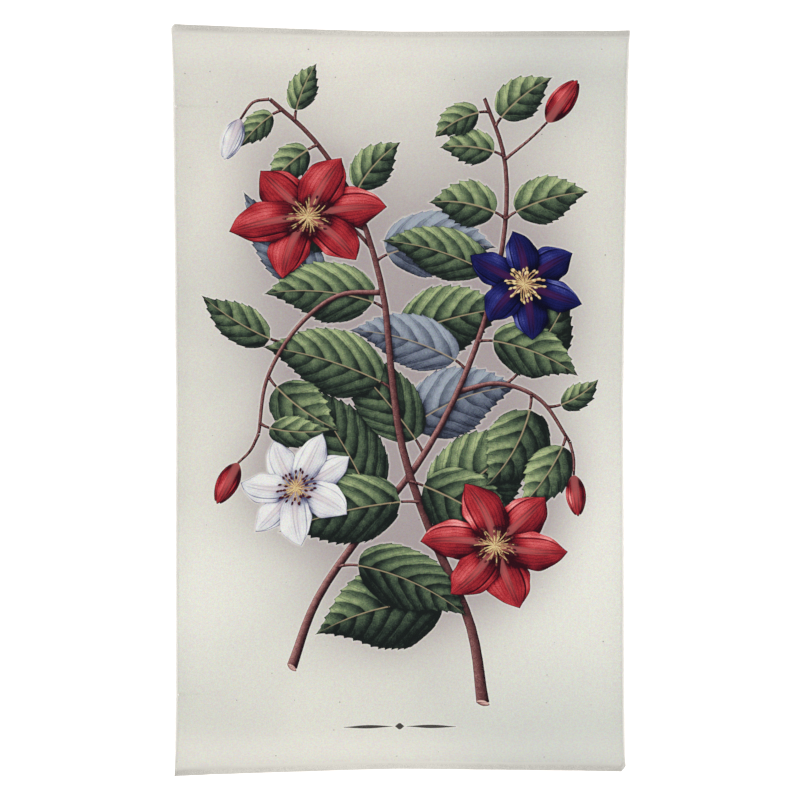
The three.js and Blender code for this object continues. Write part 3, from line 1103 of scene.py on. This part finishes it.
GLASS_IOR = 1.5
GLASS_TINT = (0.985, 0.995, 0.98, 1.0)
GLASS_PASSES = (0.96, 0.965, 0.955, 1.0)  # what it lets through to the print
GROUND_PASSES = (0.85, 0.86, 0.85, 1.0)
GROUND_ENDS = [(0.35, (168, 165, 159)), (0.65, (216, 213, 205))]
# painted light: the long sides get a paler ramp than the ends, as if they catch more light
GROUND_SIDES_LIT = [(0.35, (184, 180, 175)), (0.65, (208, 205, 199))]
GROUND_BRINK_HIGHLIGHT = (209, 206, 198)  # painted highlight next to the upper face, in the middle of an end
GROUND_CORNER_SHADE = (196, 194, 188)  # and at its corners, darkened by painted shade
KRAFT = [(0.3, (124, 100, 70)), (0.7, (170, 143, 106))]
KRAFT_FLECK = (98, 76, 52)
FELT_GREENS = [(0.34, (26, 40, 31)), (0.66, (66, 88, 70))]
FLOOR_WHITE = (0.98, 0.98, 0.98, 1.0)
FLOOR_GLOW = 0.45


def let_light_through(finish, colour):
    """Makes a glass clear to the lamps and to light scattered by the print, which would be counted twice
    if it were bent as well."""
    tree = finish.tree
    lighting = finish.read("ShaderNodeLightPath", "Is Shadow Ray")
    lighting = lighting.at_least(finish.read("ShaderNodeLightPath", "Is Diffuse Ray"))
    passing = finish.read("ShaderNodeBsdfTransparent", 0, {"Color": colour})
    pick = lighting.feed("ShaderNodeMixShader", Wire(tree, finish.shader.outputs[0]), passing)
    plug(tree, pick, tree.nodes["Material Output"].inputs["Surface"])


def clear_glass():
    """Clear glass, faintly wavy from the slumping."""
    finish = Finish("clear_glass")
    finish.set(base_color=GLASS_TINT, transmission_weight=1.0, roughness=0.0, ior=GLASS_IOR)
    finish.bump(finish.noise(finish.position(), 26.0, 1.0, 0.4), 0.0001, 0.15)
    let_light_through(finish, GLASS_PASSES)
    return finish.material


def ground_glass():
    """The ground edges: a speckled grey on the ends, with a painted highlight towards the upper face and
    painted shade towards the corners, and on the long sides the tone of the paper beside them, painted
    paler as light they pick up and paler again on the right."""
    finish = Finish("ground_glass")
    where = finish.position()
    x, y, _ = finish.parts(where)
    depth = finish.attribute("depth")[0]
    speckle = finish.noise(where, 1900.0, 2.0, 0.7)
    grain = speckle * 0.8 + finish.noise(where, 25.0, 2.0, 0.5) * 0.3
    # painted shade: the ends darken towards their corners
    corner = abs(x + 0.02).step(0.02, 0.11)
    # painted highlight along the upper face of the ends, dimmed by painted shade towards the corners
    brink_highlight = blend(corner, GROUND_BRINK_HIGHLIGHT, GROUND_CORNER_SHADE)
    ends = (grain - corner * 0.12).ramp(GROUND_ENDS)
    ends = blend(depth.step(0.0, 2.4, 1.0, 0.0), ends, brink_highlight)
    # painted light: the long sides are paler, and paler again towards the right
    sides = (grain + x.step(-0.1, 0.1, 0.0, 0.1)).ramp(GROUND_SIDES_LIT)
    on_end = abs(y).step(ALONG.edge * MM - 0.003, ALONG.edge * MM - 0.001)
    colour = blend(on_end, sides, ends)
    finish.set(base_color=colour, transmission_weight=0.3, roughness=0.55, ior=GLASS_IOR)
    finish.bump(speckle, 0.0001, 0.6)
    let_light_through(finish, GROUND_PASSES)
    return finish.material


def backing_paper():
    """Kraft paper: long fibres one way, clouds of darker pulp and faint wrinkles from the bending."""
    finish = Finish("backing_paper")
    where = finish.position()
    x, y, z = finish.parts(where)
    fibre = finish.noise(finish.vector(x * 3.0, y * 0.5, z), 500.0, 3.0, 0.6)
    fleck = finish.noise(where, 420.0, 2.0, 0.7).step(0.62, 0.70)
    cloud = finish.noise(where, 30.0, 3.0, 0.6)
    wrinkle = finish.noise(finish.vector(x * 1.0, y * 3.0, z), 24.0, 3.0, 0.5)
    colour = blend(fleck * 0.45, (fibre * 0.55 + cloud * 0.45).ramp(KRAFT), KRAFT_FLECK)
    finish.set(base_color=colour, roughness=cloud.step(0.3, 0.7, 0.45, 0.62))
    finish.bump(fibre * 0.2 + wrinkle, 0.0005, 0.5)
    return finish.material


def felt_wool():
    """Pressed wool felt, with paler and darker hairs in it."""
    finish = Finish("felt_wool")
    where = finish.position()
    fuzz = finish.noise(where, 2200.0, 4.0, 0.75)
    tuft = finish.noise(where, 380.0, 4.0, 0.7)
    cloud = finish.noise(where, 60.0, 3.0, 0.6)
    colour = (fuzz * 0.35 + tuft * 0.45 + cloud * 0.2).ramp(FELT_GREENS)
    finish.set(base_color=colour, roughness=0.95, sheen_weight=0.35, sheen_roughness=0.5)
    finish.bump(fuzz * 0.5 + tuft, 0.0004, 0.9)
    return finish.material


def floor_white():
    """A matt white that gives off some light of its own, so that it stays white round the tray."""
    finish = Finish("floor")
    finish.set(base_color=FLOOR_WHITE, roughness=0.9, specular_ior_level=0.1)
    finish.set(emission_color=(1.0, 1.0, 1.0, 1.0), emission_strength=FLOOR_GLOW)
    return finish.material


# ---- Stage, lights and camera, in metres ----

FLOOR = -0.0003  # just under the felt
FLOOR_REACH = 6.0
CAMERA_HEIGHT = 2.0
CAMERA_ASIDE = -0.0003  # the photograph was cut out a little off the tray's middle
SIDE_HEIGHT = 0.01  # of the tray's long sides over the floor
FRAME_WIDTH = 0.3849  # what the picture spans at that height
SENSOR_WIDTH = 36.0
SOFTBOXES = {"softbox_left": ((-1.3, 0.1, 1.35), 23.5), "softbox_right": ((1.25, -0.2, 1.5), 24.5)}
SOFTBOX_SIZE = 1.3
SKY_COLOUR = (1.0, 0.995, 0.985, 1.0)
SKY_LIGHT = 0.76
SKY_GAP_LIGHT = 0.06
SKY_GAP = math.radians(28)  # from straight up: as dark as it gets inside this
SKY_EDGE = math.radians(56)  # and full light outside this


def make_camera():
    """A camera straight above the tray."""
    lens = bpy.data.cameras.new("camera")
    lens.sensor_width = SENSOR_WIDTH
    lens.lens = SENSOR_WIDTH * (CAMERA_HEIGHT - SIDE_HEIGHT) / FRAME_WIDTH
    camera = bpy.data.objects.new("camera", lens)
    camera.location = (CAMERA_ASIDE, 0, CAMERA_HEIGHT)
    bpy.context.scene.collection.objects.link(camera)
    bpy.context.scene.camera = camera


def make_stage():
    """A plain floor."""
    mesh = bpy.data.meshes.new("floor")
    around = ((-1, -1), (1, -1), (1, 1), (-1, 1))
    mesh.from_pydata([(x * FLOOR_REACH, y * FLOOR_REACH, FLOOR) for x, y in around], [], [(0, 1, 2, 3)])
    mesh.materials.append(floor_white())
    floor = bpy.data.objects.new("floor", mesh)
    bpy.context.scene.collection.objects.link(floor)


def make_sky():
    """A pale surround, dark straight above, so that the flat glass mirrors nothing bright to the camera."""
    world = bpy.data.worlds.new("studio")
    bpy.context.scene.world = world
    world.use_nodes = True
    tree = world.node_tree
    place = Wire(tree, add_node(tree, "ShaderNodeTexCoord").outputs["Generated"])
    height = Wire(tree, add_node(tree, "ShaderNodeSeparateXYZ", {0: place}).outputs["Z"])
    gap = height.step(math.cos(SKY_EDGE), math.cos(SKY_GAP), SKY_LIGHT, SKY_GAP_LIGHT)
    background = tree.nodes["Background"]
    background.inputs["Color"].default_value = SKY_COLOUR
    plug(tree, gap * height.step(0.0, 0.5, 0.55, 1.0), background.inputs["Strength"])


def make_lights():
    """A softbox on each side, turned to the tray, and the sky."""
    make_sky()
    for name, (place, power) in SOFTBOXES.items():
        light = bpy.data.lights.new(name, "AREA")
        light.size = SOFTBOX_SIZE
        light.energy = power
        lamp = bpy.data.objects.new(name, light)
        lamp.location = place
        lamp.rotation_euler = (-Vector(place)).to_track_quat("-Z", "Y").to_euler()
        bpy.context.scene.collection.objects.link(lamp)
    bpy.context.scene.view_settings.view_transform = "Standard"


make_camera()
glass(clear_glass(), ground_glass())
printed_sheet(draw_spray(), inks())
backing(backing_paper())
felt(felt_wool())
make_stage()
make_lights()
